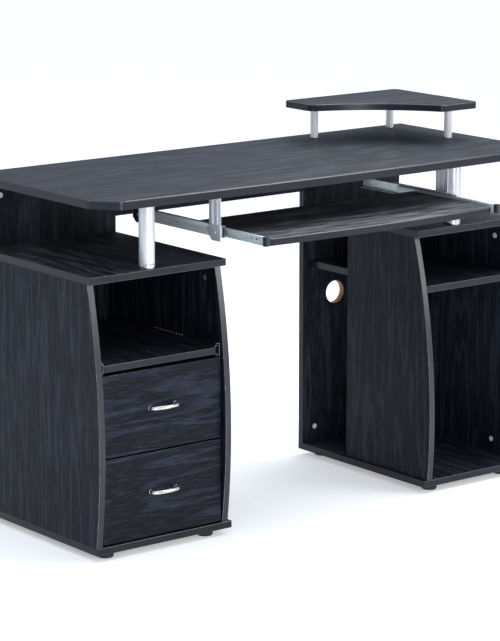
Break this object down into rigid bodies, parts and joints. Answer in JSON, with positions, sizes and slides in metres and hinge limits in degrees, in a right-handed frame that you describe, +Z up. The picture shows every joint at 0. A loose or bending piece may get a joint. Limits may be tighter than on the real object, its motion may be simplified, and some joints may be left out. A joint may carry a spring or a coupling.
{
  "type": "computer desk",
  "caption": "Black wood-grain computer desk with bowed top, sliding keyboard tray, drawer pedestal, open pedestal for a computer case and a raised corner shelf.",
  "frame": {"origin": "on the floor, under the middle of the space the desk takes up with its keyboard tray part way out", "axes": "+X to the right along the desktop as seen by the person seated at it, +Y to the back, +Z up"},
  "size_m": [1.2, 0.598, 0.84],
  "materials": {
    "laminate_along": "black embossed wood-grain laminate, grain along the desk, semi-gloss",
    "laminate_across": "black embossed wood-grain laminate, grain front to back, semi-gloss",
    "laminate_upright": "black embossed wood-grain laminate, upright grain, semi-gloss",
    "drawer_board": "plain black laminate",
    "hardboard": "dark smooth hardboard",
    "silver_paint": "silver paint, satin",
    "bright_trim": "bright plated",
    "zinc_steel": "bright zinc-plated sheet steel",
    "dark_hanger": "dark grey paint",
    "screw_steel": "plated",
    "black_steel": "black electro-coated sheet steel",
    "black_plastic": "moulded black plastic",
    "satin_nickel": "satin nickel",
    "cap_grey": "light grey moulded caps"
  },
  "bodies": {
    "desk": {"desktop": "laminate_along", "rear_rail": "laminate_along", "raised_shelf": "laminate_along", "left_top": "laminate_across", "left_base": "laminate_across", "right_top": "laminate_across", "right_base": "laminate_across", "right_shelf": "laminate_across", "back_panel_left": "laminate_upright", "back_panel_right": "laminate_upright", "left_side_outer": "laminate_upright", "left_side_inner": "laminate_upright", "right_side_outer": "laminate_upright", "right_side_inner": "laminate_upright", "column_left": "silver_paint", "column_right": "silver_paint", "raised_posts": "silver_paint", "column_rings": "bright_trim", "raised_post_flanges": "bright_trim", "tray_slide_outer_left": "zinc_steel", "tray_slide_outer_right": "zinc_steel", "tray_hanger_front_left": "zinc_steel", "tray_hanger_front_right": "zinc_steel", "tray_hanger_rear_left": "dark_hanger", "tray_hanger_rear_right": "dark_hanger", "tray_hanger_screws": "screw_steel", "pull_out_slides_outer": "black_steel", "drawer_upper_slides_outer": "black_steel", "drawer_lower_slides_outer": "black_steel", "left_feet": "black_plastic", "right_feet": "black_plastic", "cam_heads": "cap_grey"},
    "keyboard_tray": {"keyboard_tray": "laminate_along", "tray_slide_inner_left": "zinc_steel", "tray_slide_inner_right": "zinc_steel", "tray_slide_stops": "black_plastic"},
    "tray_cages": {"tray_slide_cages": "black_plastic"},
    "pull_out": {"pull_out_shelf": "laminate_across", "pull_out_slides_inner": "black_steel"},
    "pull_out_cages": {"pull_out_slide_cages": "black_plastic"},
    "drawer_upper": {"drawer_upper_front": "laminate_along", "drawer_upper_box": "drawer_board", "drawer_upper_bottom": "hardboard", "drawer_upper_handle": "satin_nickel", "drawer_upper_slides_inner": "black_steel"},
    "drawer_upper_cages": {"drawer_upper_slide_cages": "black_plastic"},
    "drawer_lower": {"drawer_lower_front": "laminate_along", "drawer_lower_box": "drawer_board", "drawer_lower_bottom": "hardboard", "drawer_lower_handle": "satin_nickel", "drawer_lower_slides_inner": "black_steel"},
    "drawer_lower_cages": {"drawer_lower_slide_cages": "black_plastic"}
  },
  "joints": [
    {"name": "keyboard_tray_slide", "type": "slide", "parent": "desk", "child": "keyboard_tray", "axis": [0, -1, 0], "range_m": [-0.133, 0.105]},
    {"name": "tray_cage_slide", "type": "slide", "parent": "desk", "child": "tray_cages", "axis": [0, -1, 0], "range_m": [-0.0665, 0.0525]},
    {"name": "pull_out_slide", "type": "slide", "parent": "desk", "child": "pull_out", "axis": [0, -1, 0], "range_m": [0, 0.26]},
    {"name": "pull_out_cage_slide", "type": "slide", "parent": "desk", "child": "pull_out_cages", "axis": [0, -1, 0], "range_m": [0, 0.13]},
    {"name": "drawer_upper_slide", "type": "slide", "parent": "desk", "child": "drawer_upper", "axis": [0, -1, 0], "range_m": [0, 0.27]},
    {"name": "drawer_upper_cage_slide", "type": "slide", "parent": "desk", "child": "drawer_upper_cages", "axis": [0, -1, 0], "range_m": [0, 0.135]},
    {"name": "drawer_lower_slide", "type": "slide", "parent": "desk", "child": "drawer_lower", "axis": [0, -1, 0], "range_m": [0, 0.27]},
    {"name": "drawer_lower_cage_slide", "type": "slide", "parent": "desk", "child": "drawer_lower_cages", "axis": [0, -1, 0], "range_m": [0, 0.135]}
  ],
  "couplings": [
    {"joint": "tray_cage_slide", "follows": "keyboard_tray_slide", "ratio": 0.5},
    {"joint": "pull_out_cage_slide", "follows": "pull_out_slide", "ratio": 0.5},
    {"joint": "drawer_upper_cage_slide", "follows": "drawer_upper_slide", "ratio": 0.5},
    {"joint": "drawer_lower_cage_slide", "follows": "drawer_lower_slide", "ratio": 0.5}
  ]
}
